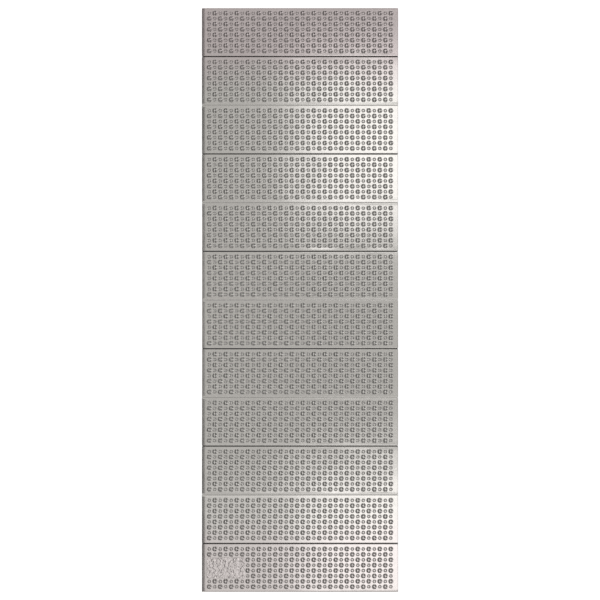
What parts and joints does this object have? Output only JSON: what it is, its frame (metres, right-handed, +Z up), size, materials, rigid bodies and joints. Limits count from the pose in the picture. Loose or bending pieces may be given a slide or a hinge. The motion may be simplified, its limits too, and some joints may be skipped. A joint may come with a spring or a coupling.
{
  "type": "folding foam sleeping pad",
  "caption": "Accordion-folding closed-cell foam sleeping pad with a dimpled top under reflective film, living-hinge folds and a blank pressed patch.",
  "frame": {"origin": "centre of the underside on the ground, with the pad laid flat", "axes": "+Y along the pad to the end of panel 01, +X across its width, +Z up through the film side"},
  "size_m": [0.605, 1.8, 0.02],
  "materials": {
    "foam": "matt closed-cell foam",
    "film": "satin, finely wrinkled metallised film",
    "patch": "satin, pressed flat"
  },
  "bodies": {
    "panel_01": {"foam_panel_01": "foam", "reflective_film_01": "film"},
    "panel_02": {"foam_panel_02": "foam", "reflective_film_02": "film", "hinge_web_01": "foam"},
    "panel_03": {"foam_panel_03": "foam", "reflective_film_03": "film", "hinge_web_02": "foam", "film_crease_02": "film"},
    "panel_04": {"foam_panel_04": "foam", "reflective_film_04": "film", "hinge_web_03": "foam"},
    "panel_05": {"foam_panel_05": "foam", "reflective_film_05": "film", "hinge_web_04": "foam", "film_crease_04": "film"},
    "panel_06": {"foam_panel_06": "foam", "reflective_film_06": "film", "hinge_web_05": "foam", "hinge_web_06": "foam", "film_crease_06": "film"},
    "panel_07": {"foam_panel_07": "foam", "reflective_film_07": "film", "hinge_web_07": "foam"},
    "panel_08": {"foam_panel_08": "foam", "reflective_film_08": "film", "hinge_web_08": "foam", "film_crease_08": "film"},
    "panel_09": {"foam_panel_09": "foam", "reflective_film_09": "film", "hinge_web_09": "foam"},
    "panel_10": {"foam_panel_10": "foam", "reflective_film_10": "film", "hinge_web_10": "foam", "film_crease_10": "film"},
    "panel_11": {"foam_panel_11": "foam", "reflective_film_11": "film", "hinge_web_11": "foam"},
    "panel_12": {"foam_panel_12": "foam", "reflective_film_12": "film", "blank_patch": "patch"}
  },
  "joints": [
    {"name": "fold_01", "type": "hinge", "parent": "panel_02", "child": "panel_01", "pos_m": [0, 0.75, -0.0003], "axis": [-1, 0, 0], "range_deg": [0, 178], "deforming": ["hinge_web_01"]},
    {"name": "fold_02", "type": "hinge", "parent": "panel_03", "child": "panel_02", "pos_m": [0, 0.6, 0.0203], "axis": [1, 0, 0], "range_deg": [0, 178], "deforming": ["hinge_web_02", "film_crease_02"]},
    {"name": "fold_03", "type": "hinge", "parent": "panel_04", "child": "panel_03", "pos_m": [0, 0.45, -0.0003], "axis": [-1, 0, 0], "range_deg": [0, 178], "deforming": ["hinge_web_03"]},
    {"name": "fold_04", "type": "hinge", "parent": "panel_05", "child": "panel_04", "pos_m": [0, 0.3, 0.0203], "axis": [1, 0, 0], "range_deg": [0, 178], "deforming": ["hinge_web_04", "film_crease_04"]},
    {"name": "fold_05", "type": "hinge", "parent": "panel_06", "child": "panel_05", "pos_m": [0, 0.15, -0.0003], "axis": [-1, 0, 0], "range_deg": [0, 178], "deforming": ["hinge_web_05"]},
    {"name": "fold_06", "type": "hinge", "parent": "panel_06", "child": "panel_07", "pos_m": [0, 0, 0.0203], "axis": [-1, 0, 0], "range_deg": [0, 178], "deforming": ["hinge_web_06", "film_crease_06"]},
    {"name": "fold_07", "type": "hinge", "parent": "panel_07", "child": "panel_08", "pos_m": [0, -0.15, -0.0003], "axis": [1, 0, 0], "range_deg": [0, 178], "deforming": ["hinge_web_07"]},
    {"name": "fold_08", "type": "hinge", "parent": "panel_08", "child": "panel_09", "pos_m": [0, -0.3, 0.0203], "axis": [-1, 0, 0], "range_deg": [0, 178], "deforming": ["hinge_web_08", "film_crease_08"]},
    {"name": "fold_09", "type": "hinge", "parent": "panel_09", "child": "panel_10", "pos_m": [0, -0.45, -0.0003], "axis": [1, 0, 0], "range_deg": [0, 178], "deforming": ["hinge_web_09"]},
    {"name": "fold_10", "type": "hinge", "parent": "panel_10", "child": "panel_11", "pos_m": [0, -0.6, 0.0203], "axis": [-1, 0, 0], "range_deg": [0, 178], "deforming": ["hinge_web_10", "film_crease_10"]},
    {"name": "fold_11", "type": "hinge", "parent": "panel_11", "child": "panel_12", "pos_m": [0, -0.75, -0.0003], "axis": [1, 0, 0], "range_deg": [0, 178], "deforming": ["hinge_web_11"]}
  ]
}
